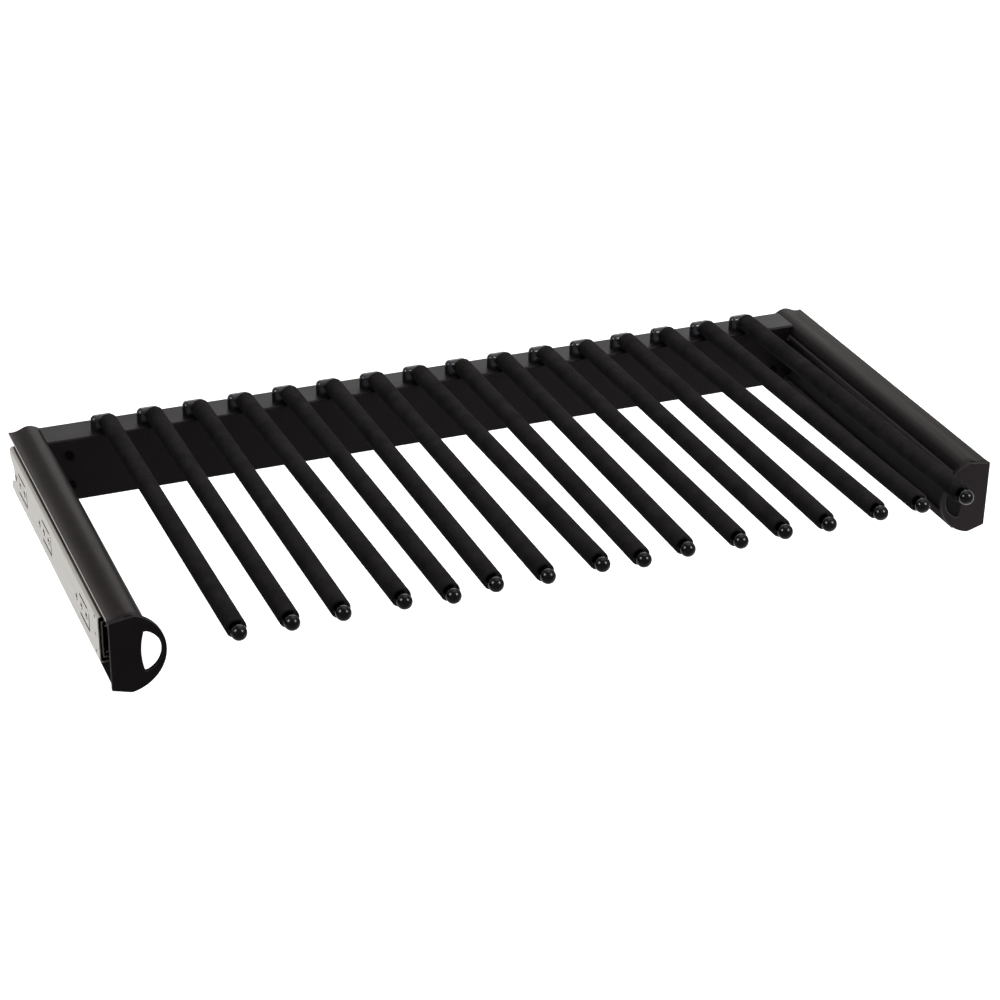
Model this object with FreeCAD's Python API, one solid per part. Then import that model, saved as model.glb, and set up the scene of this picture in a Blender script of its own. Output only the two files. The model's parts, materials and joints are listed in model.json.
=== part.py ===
import FreeCAD, Part
import math
import os

# Trouser rack that pulls out of a wardrobe. Flocked bars stand on a rear channel between two rails,
# and each rail hangs on a three-part ball runner that is screwed to the cabinet wall.
# Sizes are in millimetres. The pieces are drawn with X across from the middle of the rack, Y from the
# front faces of the handles to the rear and Z up from the underside of the rails. They are written out
# about the datum: the middle of the two screw holes that hold the left runner to its wall.

# Radial and face clearance of the pieces that are pressed or screwed together
FIT_CLEARANCE = 0.05
# Places and lengths nearer than this count as equal
TOUCH = 1e-4

# Cabinet and rails
CABINET_WIDTH = 864.0
RAIL_INSET = 2.0
RAIL_PAST_RUNNER = 11.0
RAIL_LIP = 2.0
RAIL_WALL = 1.8
RAIL_BODY_WIDTH = 27.0
RUNNER_ROOM_BELOW = 8.2
RUNNER_ROOM_ABOVE = 2.6
SHELF_DROP = 2.4
SHELF_EDGE = 33.3
SHELF_BULGE = 1.0
SHELF_DEPTH = 6.0

# Rail covers: how far the crowned top rises over the rail's roof, from the outer lip to the inner crease
COVER_LIP_FOOT_RISE = 3.0
COVER_EDGE_RISE = 5.8
COVER_SHOULDER_U = 12.0
COVER_SHOULDER_RISE = 7.4
COVER_CREST_U = 18.5
COVER_CREST_RISE = 9.5
COVER_BROW_U = 25.0
COVER_BROW_RISE = 8.3
COVER_CREASE_U = 30.2
COVER_CREASE_RISE = 5.2
COVER_SHELF_GROOVE = 2.2
COVER_THICKNESS = 1.7
COVER_LEG = 1.4
COVER_OUTER_LEG_U = 4.0
COVER_INNER_LEG_U = 27.0

# Handle caps
CAP_PLATE = 4.0
CAP_COLLAR = 4.6
CAP_TOP_RISE = 6.0
CAP_REACH = 49.6
CAP_ARC_RISE = 5.5
CAP_TOP_CREST_U = 23.0
CAP_FOOT_CREST_U = 17.0
CAP_CREST_ROUND = 8.0
CAP_EDGE_ROUND = 0.9
CAP_PLUG_DEPTH = 14.0
CAP_PLUG_WALL = 2.0
FINGER_HOLE_HEIGHT = 39.0
FINGER_HOLE_INNER_U = 27.2
FINGER_HOLE_BOW = 2.8
FINGER_HOLE_TOP_FLAT = 2.5
FINGER_HOLE_REACH = 45.4

# Rear channel
CHANNEL_END_GAP = 35.0
CHANNEL_SHELF_GAP = 0.4
CHANNEL_GROOVE_GAP = 1.2
CHANNEL_SETBACK = 5.0
FLANGE_END = 29.3
CHANNEL_TOP_RISE = 7.6
CHANNEL_FOOT = 2.0
CHANNEL_FLANGE = 35.0
CHANNEL_FOOT_FLANGE = 15.0
CHANNEL_SHEET = 1.5
CHANNEL_BEND = 1.9

# Corner brackets and their screws
BRACKET_SHEET = 2.0
BRACKET_FOOT = 10.0
BRACKET_SHELF_GAP = 2.0
BRACKET_TAB_MARGIN = 7.0
BRACKET_TAB_START = 37.0
BRACKET_REACH = 35.0
BRACKET_DEPTH = 29.0
BRACKET_SCREW_U = 50.0
BRACKET_SCREW_PITCH = 32.0
BRACKET_RAIL_SCREW_SETBACK = 18.0
BRACKET_RAIL_SCREW_FROM_FOOT = 10.0
BRACKET_RAIL_SCREW_FROM_TOP = 8.0
SCREW_RADIUS = 2.5
SCREW_HEAD_RADIUS = 4.2
SCREW_HEAD = 2.4
SCREW_LENGTH = 9.0
SCREW_SOCKET_RADIUS = 1.6
SCREW_SOCKET_DEPTH = 1.2

# Bars: even pitch, set off to the right of the middle by the bosses on their left, rising to the front
BAR_COUNT = 16
BAR_END_ROOM = 51.7
BAR_SET_OFF = 4.6
BAR_RISE_DEG = 1.35
BAR_LENGTH = 435.0
BAR_FLANGE_SEAT = 8.0
BAR_REST_GAP = 0.1
# How far each bar stands askew in its holder, in degrees: positive to the right
BAR_SKEW_DEG = (-0.2, -0.2, -0.3, 0.8, 0.6, -0.3, 0, 0.7, -0.1, -0.55, 0.25, 0, -0.2, 0.65, 0.3, 0.3)
# How far each bar droops below the common rise, in degrees
BAR_DROOP_DEG = (0, 0, 0, 0, 0.45, 0, 0.2, 0, 0.4, 0.1, 0.35, 0.2, 0.3, 0.1, 0.15, 0.15)
SLEEVE_RADIUS = 8.85
SLEEVE_WALL = 1.35
SLEEVE_END_ROUND = 1.2
TUBE_WALL = 1.0
TUBE_SETBACK = 3.0
TIP_RADIUS = 6.8
TIP_STAND_OFF = 7.0
TIP_STEM = 15.0
TIP_NECK_RADIUS = 5.0

# Bar holders: a rounded block on the channel's flange behind each bar, with a plug into the bar's tube
PLUG_LENGTH = 60.0
PLUG_ROOT = 3.0
HOLDER_GAP = 0.5
HOLDER_LEFT = 16.0
HOLDER_RIGHT = 7.0
HOLDER_DEPTH = 11.0
HOLDER_HEIGHT = 14.5
HOLDER_SIDE_ROUND = 5.2
HOLDER_TOP_ROUND = 5.0
HOLDER_SCREW_FROM_LEFT = 6.0
HOLDER_SCREW_RADIUS = 2.0
HOLDER_SCREW_HEAD_RADIUS = 3.75
HOLDER_SCREW_LENGTH = 10.5

# Runners: depth is counted from the cabinet wall, and heights from the runner's own middle line
RUNNER_FRONT = 33.0
RUNNER_LENGTH = 345.0
RUNNER_TRAVEL = 345.0
RUNNER_HEIGHT = 46.0
RUNNER_DEPTH = 12.7
RUNNER_SHEET = 1.2
RUNNER_ROUND = 3.0
CABINET_FLANGE = 9.5
CABINET_LIP = 2.6
MIDDLE_FLANGE = 7.4
MIDDLE_SHORTER = 10.0
RACK_FLANGE = 7.1
RUNNER_SIDE_GAP = 0.5
CAGE_SHEET = 0.6
CAGE_ARM_PAST_BALL = 2.5
CAGE_END_ROOM = 6.0
BALL_RADIUS = 1.95
BALL_CLEARANCE = 0.12
BALL_GROOVE = 0.3
BALLS_PER_ROW = 7
BALL_ROW_END = 9.0
CAGE_BALL_CLEARANCE = 0.1
RUNNER_SCREW_COUNT = 3
RUNNER_SCREW_END = 30.0
RUNNER_SCREW_RADIUS = 2.0
RUNNER_SCREW_HEAD = 2.0
RUNNER_SCREW_LENGTH = 6.5

# Pierced web of the cabinet runner
WALL_HOLE_RADIUS = 3.2
WALL_HOLE_PITCH = 18.0
WALL_GROUP_SETBACKS = (62.0, 206.0, 305.0)
FRONT_HOLE_RADIUS = 1.9
FRONT_HOLE_SETBACK = 11.0
FRONT_HOLE_PITCH = 17.5
TONGUE_SLIT = 2.2
TONGUE_NOSE = 28.0
TONGUE_TAIL = 5.0
TONGUE_HALF_HEIGHT = 9.8
TONGUE_NOSE_RUN = 6.5
TONGUE_NOSE_DROP = 4.0
REAR_NOTCH_DEPTH = 15.0
REAR_NOTCH_HALF_MOUTH = 13.5
REAR_NOTCH_HALF_ROOT = 7.0

# Places worked out from the sizes above
RAIL_PLANE = CABINET_WIDTH / 2 - RAIL_INSET
RUNNER_REAR = RUNNER_FRONT + RUNNER_LENGTH
RUNNER_MIDDLE = RAIL_WALL + RUNNER_ROOM_BELOW + RUNNER_HEIGHT / 2
RAIL_REAR = RUNNER_REAR + RAIL_PAST_RUNNER
RECESS_DEPTH = RUNNER_DEPTH - RAIL_INSET
RECESS_TOP = RUNNER_MIDDLE + RUNNER_HEIGHT / 2 + RUNNER_ROOM_ABOVE
RECESS_ROOF = RECESS_TOP + RAIL_WALL
MOUNT_WALL_INNER = RECESS_DEPTH + RAIL_WALL
SHELF_TOP = RECESS_ROOF - SHELF_DROP
SHELF_UNDER = SHELF_TOP - SHELF_DEPTH
SHELF_MIDDLE = (SHELF_TOP + SHELF_UNDER) / 2
CHAMBER_INNER = RAIL_BODY_WIDTH - RAIL_WALL
CHAMBER_TOP = SHELF_TOP - RAIL_WALL
COVER_EDGE_TOP = RECESS_ROOF + COVER_EDGE_RISE
COVER_CREASE_TOP = RECESS_ROOF + COVER_CREASE_RISE
CAP_HEIGHT = RECESS_ROOF + CAP_TOP_RISE
CAP_MIDDLE = CAP_HEIGHT / 2
CAP_ARC_RADIUS = CAP_MIDDLE + CAP_ARC_RISE
CHANNEL_REAR = RAIL_REAR - CHANNEL_SETBACK
CHANNEL_TOP = RECESS_ROOF + CHANNEL_TOP_RISE
CHANNEL_FRONT = CHANNEL_REAR - CHANNEL_FLANGE
CHANNEL_HALF = RAIL_PLANE - CHANNEL_END_GAP
FLANGE_HALF = RAIL_PLANE - FLANGE_END
CHANNEL_MIDDLE = (CHANNEL_FOOT + CHANNEL_TOP) / 2
FLANGE_UNDER = CHANNEL_TOP - CHANNEL_SHEET
WEB_BACK = CHANNEL_FRONT + CHANNEL_SHEET
BRACKET_FRONT = WEB_BACK + FIT_CLEARANCE
BRACKET_TOP = SHELF_UNDER - BRACKET_SHELF_GAP
BAR_PITCH = 2 * (CHANNEL_HALF - BAR_END_ROOM) / (BAR_COUNT - 1)
SLEEVE_BORE = SLEEVE_RADIUS - SLEEVE_WALL
TUBE_RADIUS = SLEEVE_BORE - FIT_CLEARANCE
TUBE_BORE = TUBE_RADIUS - TUBE_WALL
PLUG_RADIUS = TUBE_BORE - FIT_CLEARANCE
BAR_RISE = math.radians(BAR_RISE_DEG)
BAR_REAR = CHANNEL_FRONT + BAR_FLANGE_SEAT
BAR_REAR_HEIGHT = CHANNEL_TOP + BAR_REST_GAP + SLEEVE_RADIUS * math.cos(BAR_RISE)
HOLDER_FRONT = BAR_REAR + HOLDER_GAP
HOLDER_REAR = HOLDER_FRONT + HOLDER_DEPTH
HOLDER_SCREW_X = HOLDER_SCREW_FROM_LEFT - HOLDER_LEFT

CABINET_RACE = RUNNER_HEIGHT / 2 - RUNNER_SHEET
BALL_SEAT = BALL_RADIUS + BALL_CLEARANCE
OUTER_BALL_ROW = CABINET_RACE + BALL_GROOVE - BALL_SEAT
MIDDLE_TOP = OUTER_BALL_ROW - BALL_SEAT + BALL_GROOVE
MIDDLE_RACE = MIDDLE_TOP - RUNNER_SHEET
INNER_BALL_ROW = MIDDLE_RACE + BALL_GROOVE - BALL_SEAT
RACK_TOP = INNER_BALL_ROW - BALL_SEAT + BALL_GROOVE
OUTER_CAGE_DEPTH = RUNNER_SHEET + RUNNER_SIDE_GAP
MIDDLE_DEPTH = OUTER_CAGE_DEPTH + CAGE_SHEET + RUNNER_SIDE_GAP
INNER_CAGE_DEPTH = MIDDLE_DEPTH + RUNNER_SHEET + RUNNER_SIDE_GAP
RACK_FLANGE_DEPTH = RUNNER_DEPTH - RACK_FLANGE
OUTER_BALL_DEPTH = MIDDLE_DEPTH + BALL_SEAT + RUNNER_SIDE_GAP
INNER_BALL_DEPTH = RACK_FLANGE_DEPTH + BALL_SEAT
MIDDLE_REAR = RUNNER_REAR - MIDDLE_SHORTER
OPEN_OVERLAP = MIDDLE_REAR - RUNNER_FRONT - RUNNER_TRAVEL / 2
CAGE_LENGTH = OPEN_OVERLAP - 2 * CAGE_END_ROOM
CAGE_FRONT = RUNNER_FRONT + (RUNNER_LENGTH - CAGE_LENGTH) / 2
WALL_GROUPS = [RUNNER_FRONT + setback for setback in WALL_GROUP_SETBACKS]
DATUM = FreeCAD.Vector(-CABINET_WIDTH / 2, (WALL_GROUPS[0] + WALL_GROUPS[1]) / 2, RUNNER_MIDDLE)
RIGHT = FreeCAD.Vector(1, 0, 0)
REARWARD = FreeCAD.Vector(0, 1, 0)
UP = FreeCAD.Vector(0, 0, 1)


def point(x, y, z):
    return FreeCAD.Vector(x, y, z)


def box(low, high):
    size = high - low
    return Part.makeBox(size.x, size.y, size.z, low)


def line(start, end):
    return Part.makeLine(start, end)


def arc(start, middle, end):
    return Part.Arc(start, middle, end).toShape()


def curve(points):
    spline = Part.BSplineCurve()
    spline.interpolate(points)
    return spline.toShape()


def chain(points):
    return [line(start, end) for start, end in zip(points, points[1:])]


def prism(edges, direction):
    return Part.Face(Part.Wire(edges)).extrude(direction)


def section_points(pairs, y):
    return [point(u, y, z) for u, z in pairs]


def extrude_section(pairs, y_front, y_rear):
    points = section_points(pairs, y_front)
    return prism(chain(points + points[:1]), point(0, y_rear - y_front, 0))


def round_edges(shape, radius, places, axis):
    """Round the edges that run along one axis through the given places."""
    chosen = []
    for edge in shape.Edges:
        start, end = edge.Vertexes[0].Point, edge.Vertexes[-1].Point
        run = end - start
        along = getattr(run, axis)
        if abs(abs(along) - run.Length) > TOUCH or run.Length < TOUCH:
            continue
        flat = [getattr(start, other) for other in "xyz" if other != axis]
        if any(math.dist(flat, place) < TOUCH for place in places):
            chosen.append(edge)
    return shape.makeFillet(radius, chosen)


def to_left(shape):
    """Move a piece drawn from the rail's outer plane to the left side of the rack."""
    return shape.translated(point(-RAIL_PLANE, 0, 0))


def to_right(shape):
    return to_left(shape).mirror(point(0, 0, 0), point(1, 0, 0))


def runner_u(depth):
    """Depth from the cabinet wall, counted from the rail's outer plane instead."""
    return depth - RAIL_INSET


def screw(base, direction, radius, head_radius, head, length):
    """Screw with its shank along the direction and its socket head behind the base point."""
    shank = Part.makeCylinder(radius, length, base, direction)
    crown = Part.makeCylinder(head_radius, head, base - direction * head, direction)
    socket = Part.makeCylinder(SCREW_SOCKET_RADIUS, SCREW_SOCKET_DEPTH, base - direction * head, direction)
    return shank.fuse(crown).removeSplitter().cut(socket)


def through_hole(middle, direction, radius, reach):
    return Part.makeCylinder(radius, 2 * reach, middle - direction * reach, direction)


def screw_hole(middle, direction, radius, reach):
    return through_hole(middle, direction, radius + FIT_CLEARANCE, reach)


def side_rail():
    lower = section_points(
        [
            (SHELF_EDGE, SHELF_TOP),
            (MOUNT_WALL_INNER, SHELF_TOP),
            (MOUNT_WALL_INNER, RECESS_ROOF),
            (RAIL_LIP, RECESS_ROOF),
            (RAIL_LIP, RECESS_TOP),
            (RECESS_DEPTH, RECESS_TOP),
            (RECESS_DEPTH, RAIL_WALL),
            (RAIL_LIP, RAIL_WALL),
            (RAIL_LIP, 0),
            (SHELF_EDGE, 0),
            (SHELF_EDGE, RAIL_WALL),
            (RAIL_BODY_WIDTH, RAIL_WALL),
            (RAIL_BODY_WIDTH, SHELF_UNDER),
            (SHELF_EDGE, SHELF_UNDER),
        ],
        CAP_PLATE,
    )
    bulge = point(SHELF_EDGE + SHELF_BULGE, CAP_PLATE, SHELF_MIDDLE)
    edges = chain(lower) + [arc(lower[-1], bulge, lower[0])]
    rail = prism(edges, point(0, RAIL_REAR - CAP_PLATE, 0))
    chamber = box(
        point(MOUNT_WALL_INNER, CAP_PLATE, RAIL_WALL),
        point(CHAMBER_INNER, RAIL_REAR, CHAMBER_TOP),
    )
    rail = rail.cut(chamber)
    for y in runner_screw_places():
        middle = point(RECESS_DEPTH, y, RUNNER_MIDDLE)
        rail = rail.cut(screw_hole(middle, RIGHT, RUNNER_SCREW_RADIUS, 2 * RAIL_WALL))
    for middle in bracket_rail_screw_places():
        rail = rail.cut(screw_hole(middle, RIGHT, SCREW_RADIUS, 2 * RAIL_WALL))
    return rail


def crown_points(y, drop=0.0, inset=0.0):
    """Crowned top of the rail, from its outer edge to the crease on its inner side."""
    return section_points(
        [
            (inset, COVER_EDGE_TOP - drop),
            (COVER_SHOULDER_U, RECESS_ROOF + COVER_SHOULDER_RISE - drop),
            (COVER_CREST_U, RECESS_ROOF + COVER_CREST_RISE - drop),
            (COVER_BROW_U, RECESS_ROOF + COVER_BROW_RISE - drop),
            (COVER_CREASE_U - inset, COVER_CREASE_TOP - drop),
        ],
        y,
    )


def rail_cover():
    y = CAP_PLATE + CAP_COLLAR
    slope_foot, lip_foot = SHELF_TOP + COVER_SHELF_GROOVE, RECESS_ROOF + COVER_LIP_FOOT_RISE
    top = crown_points(y)
    under = crown_points(y, COVER_THICKNESS, COVER_THICKNESS / 2)
    inner_side = section_points(
        [
            (COVER_CREASE_U, COVER_CREASE_TOP),
            (SHELF_EDGE, slope_foot),
            (SHELF_EDGE - COVER_THICKNESS, slope_foot),
        ],
        y,
    )
    outer_lip = section_points(
        [
            (COVER_THICKNESS, lip_foot),
            (0, lip_foot),
            (0, COVER_EDGE_TOP),
        ],
        y,
    )
    under[0] = point(COVER_THICKNESS, y, under[0].z)
    edges = [curve(top)] + chain(inner_side + [under[-1]]) + [curve(under)] + chain([under[0]] + outer_lip)
    run = RAIL_REAR - y
    cover = prism(edges, point(0, run, 0))
    legs = [
        (COVER_OUTER_LEG_U, RECESS_ROOF, COVER_EDGE_TOP - COVER_THICKNESS / 2),
        (COVER_INNER_LEG_U, SHELF_TOP, COVER_CREASE_TOP),
    ]
    for u, foot, top_height in legs:
        cover = cover.fuse(box(point(u, y, foot), point(u + COVER_LEG, RAIL_REAR, top_height)))
    return cover.removeSplitter()


def cap_crest(u, side):
    """Place where a shoulder of the handle cap meets the round of its ring: upper is 1 and lower is -1."""
    height = math.sqrt(CAP_ARC_RADIUS ** 2 - (u - CAP_REACH + CAP_ARC_RADIUS) ** 2)
    return (u, CAP_MIDDLE + side * height)


def cap_plate():
    """Plate of the handle cap: flat outer edge, two straight shoulders and the round of the ring."""
    crests = [cap_crest(CAP_TOP_CREST_U, 1), cap_crest(CAP_FOOT_CREST_U, -1)]
    corners = section_points([(0, CAP_HEIGHT), crests[0], crests[1], (0, 0)], 0)
    outer_top, upper, lower, outer_foot = corners
    ring = arc(upper, point(CAP_REACH, 0, CAP_MIDDLE), lower)
    edges = [line(outer_foot, outer_top), line(outer_top, upper), ring, line(lower, outer_foot)]
    return round_edges(prism(edges, point(0, CAP_PLATE, 0)), CAP_CREST_ROUND, crests, "y")


def finger_hole(y):
    half = FINGER_HOLE_HEIGHT / 2
    corner_u = FINGER_HOLE_INNER_U + FINGER_HOLE_BOW
    far_u = corner_u + FINGER_HOLE_TOP_FLAT
    top, bottom = CAP_MIDDLE + half, CAP_MIDDLE - half
    near_top, near_bottom = point(corner_u, y, top), point(corner_u, y, bottom)
    far_top, far_bottom = point(far_u, y, top), point(far_u, y, bottom)
    near = arc(near_bottom, point(FINGER_HOLE_INNER_U, y, CAP_MIDDLE), near_top)
    far = arc(far_top, point(FINGER_HOLE_REACH, y, CAP_MIDDLE), far_bottom)
    return [near, line(near_top, far_top), far, line(far_bottom, near_bottom)]


def handle_cap():
    plate = cap_plate().cut(prism(finger_hole(0), point(0, CAP_PLATE, 0)))
    front_edges = [edge for edge in plate.Edges if edge.BoundBox.YMax < TOUCH]
    plate = plate.makeFillet(CAP_EDGE_ROUND, front_edges)

    collar_foot = RECESS_ROOF + FIT_CLEARANCE
    top = crown_points(CAP_PLATE)
    feet = section_points([(SHELF_EDGE, collar_foot), (0, collar_foot)], CAP_PLATE)
    collar = prism([curve(top)] + chain([top[-1]] + feet + [top[0]]), point(0, CAP_COLLAR, 0))

    low = point(MOUNT_WALL_INNER + FIT_CLEARANCE, CAP_PLATE, RAIL_WALL + FIT_CLEARANCE)
    high = point(CHAMBER_INNER - FIT_CLEARANCE, CAP_PLATE + CAP_PLUG_DEPTH, CHAMBER_TOP - FIT_CLEARANCE)
    wall = point(CAP_PLUG_WALL, 0, CAP_PLUG_WALL)
    plug = box(low, high).cut(box(low + wall, high - wall))
    return plate.fuse([collar, plug]).removeSplitter()


def channel_end_cut():
    """Room in the end of the channel's web for the rail's shelf and for the slope of the cover."""
    slope_foot = SHELF_TOP + COVER_SHELF_GROOVE
    slope_room = slope_foot - FIT_CLEARANCE
    shelf_room = SHELF_TOP + FIT_CLEARANCE
    crease_u = COVER_CREASE_U + FIT_CLEARANCE
    edge_u = SHELF_EDGE + FIT_CLEARANCE
    groove_u = COVER_INNER_LEG_U + COVER_LEG + CHANNEL_GROOVE_GAP
    shelf_u = SHELF_EDGE + CHANNEL_SHELF_GAP
    pairs = [
        (FLANGE_END, FLANGE_UNDER),
        (crease_u, FLANGE_UNDER),
        (crease_u, COVER_CREASE_TOP),
        (edge_u, slope_foot),
        (edge_u, slope_room),
        (groove_u, slope_room),
        (groove_u, shelf_room),
        (shelf_u, shelf_room),
        (shelf_u + SHELF_BULGE, SHELF_MIDDLE),
        (CHANNEL_END_GAP, SHELF_MIDDLE),
        (CHANNEL_END_GAP, CHANNEL_FOOT),
        (FLANGE_END, CHANNEL_FOOT),
    ]
    return extrude_section(pairs, CHANNEL_FRONT, CHANNEL_REAR)


def rear_channel():
    pairs = [
        (CHANNEL_FRONT, CHANNEL_FOOT),
        (CHANNEL_FRONT + CHANNEL_FOOT_FLANGE, CHANNEL_FOOT),
        (CHANNEL_FRONT + CHANNEL_FOOT_FLANGE, CHANNEL_FOOT + CHANNEL_SHEET),
        (WEB_BACK, CHANNEL_FOOT + CHANNEL_SHEET),
        (WEB_BACK, FLANGE_UNDER),
        (CHANNEL_REAR, FLANGE_UNDER),
        (CHANNEL_REAR, CHANNEL_TOP),
        (CHANNEL_FRONT, CHANNEL_TOP),
    ]
    points = [point(-FLANGE_HALF, y, z) for y, z in pairs]
    channel = prism(chain(points + points[:1]), point(2 * FLANGE_HALF, 0, 0))
    channel = round_edges(channel, CHANNEL_BEND, [pairs[0], pairs[7]], "x")
    channel = round_edges(channel, CHANNEL_BEND - CHANNEL_SHEET, [pairs[3], pairs[4]], "x")
    end_cut = channel_end_cut()
    holes = [to_left(end_cut), to_right(end_cut)]
    for number in range(BAR_COUNT):
        holes.append(screw_hole(holder_screw_place(number), UP, HOLDER_SCREW_RADIUS, 2 * CHANNEL_SHEET))
    for middle in channel_screw_places():
        holes.append(screw_hole(middle, REARWARD, SCREW_RADIUS, 2 * CHANNEL_SHEET))
    for hole in holes:
        channel = channel.cut(hole)
    return channel


def bracket_channel_screw_places():
    """Screws from the channel's face into a bracket, drawn from the rail's outer plane."""
    rows = [CHANNEL_MIDDLE + side * BRACKET_SCREW_PITCH / 2 for side in (-1, 1)]
    return [point(BRACKET_SCREW_U, CHANNEL_FRONT, z) for z in rows]


def channel_screw_places():
    places = []
    for place in bracket_channel_screw_places():
        x = RAIL_PLANE - place.x
        places += [point(-x, place.y, place.z), point(x, place.y, place.z)]
    return places


def bracket_rail_screw_places():
    """Screws from a bracket into the rail's inner wall, drawn from the rail's outer plane."""
    y = BRACKET_FRONT + BRACKET_RAIL_SCREW_SETBACK
    rows = [BRACKET_FOOT + BRACKET_RAIL_SCREW_FROM_FOOT, BRACKET_TOP - BRACKET_RAIL_SCREW_FROM_TOP]
    return [point(RAIL_BODY_WIDTH, y, z) for z in rows]


def corner_bracket():
    corner = point(RAIL_BODY_WIDTH, BRACKET_FRONT, BRACKET_FOOT)
    tab_top = CHANNEL_MIDDLE + BRACKET_SCREW_PITCH / 2 + BRACKET_TAB_MARGIN
    back = BRACKET_FRONT + BRACKET_SHEET
    reach = RAIL_BODY_WIDTH + BRACKET_REACH
    rail_leg = box(corner, point(RAIL_BODY_WIDTH + BRACKET_SHEET, BRACKET_FRONT + BRACKET_DEPTH, BRACKET_TOP))
    channel_leg = box(corner, point(reach, back, BRACKET_TOP))
    tab = box(point(BRACKET_TAB_START, BRACKET_FRONT, BRACKET_FOOT), point(reach, back, tab_top))
    bracket = rail_leg.fuse([channel_leg, tab]).removeSplitter()
    for middle in bracket_channel_screw_places():
        bracket = bracket.cut(screw_hole(middle, REARWARD, SCREW_RADIUS, SCREW_LENGTH))
    for middle in bracket_rail_screw_places():
        bracket = bracket.cut(screw_hole(middle, RIGHT, SCREW_RADIUS, 2 * BRACKET_SHEET))
    return bracket


def bracket_screw(base, direction):
    return screw(base, direction, SCREW_RADIUS, SCREW_HEAD_RADIUS, SCREW_HEAD, SCREW_LENGTH)


def bracket_channel_screws():
    return [bracket_screw(place, REARWARD) for place in channel_screw_places()]


def bracket_rail_screws():
    outward = RIGHT * -1
    bases = [place + RIGHT * BRACKET_SHEET for place in bracket_rail_screw_places()]
    one_side = [bracket_screw(base, outward) for base in bases]
    return [side(piece) for side in (to_left, to_right) for piece in one_side]


def bar_x(number):
    return (number - (BAR_COUNT - 1) / 2) * BAR_PITCH + BAR_SET_OFF


def bar_end(number):
    """Middle of the rear end of one bar's sleeve."""
    return point(bar_x(number), BAR_REAR, BAR_REAR_HEIGHT)


def bar_direction(number):
    """Direction of one bar, from its rear end to its tip."""
    skew = math.radians(BAR_SKEW_DEG[number])
    rise = BAR_RISE - math.radians(BAR_DROOP_DEG[number])
    level = math.cos(rise)
    return point(level * math.sin(skew), -level * math.cos(skew), math.sin(rise))


def pipe(start, direction, length, outer, inner):
    bore = Part.makeCylinder(inner, length, start, direction)
    return Part.makeCylinder(outer, length, start, direction).cut(bore)


def bar_sleeve(number):
    sleeve = pipe(bar_end(number), bar_direction(number), BAR_LENGTH, SLEEVE_RADIUS, SLEEVE_BORE)
    rims = [edge for edge in sleeve.Edges if edge.Closed and abs(edge.Curve.Radius - SLEEVE_RADIUS) < TOUCH]
    return sleeve.makeFillet(SLEEVE_END_ROUND, rims)


def bar_tube(number):
    return pipe(bar_end(number), bar_direction(number), BAR_LENGTH - TUBE_SETBACK, TUBE_RADIUS, TUBE_BORE)


def ball_tip(number):
    end, direction = bar_end(number), bar_direction(number)
    ball_place = BAR_LENGTH + TIP_STAND_OFF
    stem_place = BAR_LENGTH - TUBE_SETBACK - TIP_STEM
    stem_start = end + direction * stem_place
    ball = Part.makeSphere(TIP_RADIUS, end + direction * ball_place)
    stem = Part.makeCylinder(PLUG_RADIUS, TIP_STEM, stem_start, direction)
    neck = Part.makeCylinder(TIP_NECK_RADIUS, ball_place - stem_place, stem_start, direction)
    return ball.fuse([stem, neck]).removeSplitter()


def holder_screw_place(number):
    return point(bar_x(number) + HOLDER_SCREW_X, (HOLDER_FRONT + HOLDER_REAR) / 2, CHANNEL_TOP)


def holder_block(x):
    """Rounded block on the channel's flange, behind a bar at the given place and out past its left side."""
    left, right = x - HOLDER_LEFT, x + HOLDER_RIGHT
    top = CHANNEL_TOP + HOLDER_HEIGHT
    block = box(point(left, HOLDER_FRONT, CHANNEL_TOP), point(right, HOLDER_REAR, top))
    corners = [(side, y) for side in (left, right) for y in (HOLDER_FRONT, HOLDER_REAR)]
    block = round_edges(block, HOLDER_SIDE_ROUND, corners, "z")
    rim = [edge for edge in block.Edges if edge.BoundBox.ZMin > top - TOUCH]
    return block.makeFillet(HOLDER_TOP_ROUND, rim)


def bar_holder(number):
    direction = bar_direction(number)
    plug_start = bar_end(number) - direction * (HOLDER_GAP + PLUG_ROOT)
    plug = Part.makeCylinder(PLUG_RADIUS, PLUG_LENGTH, plug_start, direction)
    holder = holder_block(bar_x(number)).fuse(plug).removeSplitter()
    return holder.cut(screw_hole(holder_screw_place(number), UP, HOLDER_SCREW_RADIUS, HOLDER_SCREW_LENGTH))


def holder_screws():
    sizes = (HOLDER_SCREW_RADIUS, HOLDER_SCREW_HEAD_RADIUS, SCREW_HEAD, HOLDER_SCREW_LENGTH)
    bases = [holder_screw_place(number) - UP * CHANNEL_SHEET for number in range(BAR_COUNT)]
    return [screw(base, UP, *sizes) for base in bases]


def runner_section(pairs, y_front, y_rear):
    """Extrude a runner section given as depth from the wall and height from the runner's middle line."""
    placed = [(runner_u(depth), RUNNER_MIDDLE + height) for depth, height in pairs]
    return extrude_section(placed, y_front, y_rear)


def channel_section(web_near, web_far, flange_far, half_height, sheet):
    """Section of a plain channel: web between two depths, with a flange at the top and at the bottom."""
    inner = half_height - sheet
    return [
        (web_near, -half_height),
        (flange_far, -half_height),
        (flange_far, -inner),
        (web_far, -inner),
        (web_far, inner),
        (flange_far, inner),
        (flange_far, half_height),
        (web_near, half_height),
    ]


def ball_grooves(shape, depth, row, y_front, y_rear):
    for side in (-1, 1):
        start = point(runner_u(depth), y_front, RUNNER_MIDDLE + side * row)
        shape = shape.cut(Part.makeCylinder(BALL_SEAT, y_rear - y_front, start, REARWARD))
    return shape


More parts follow.
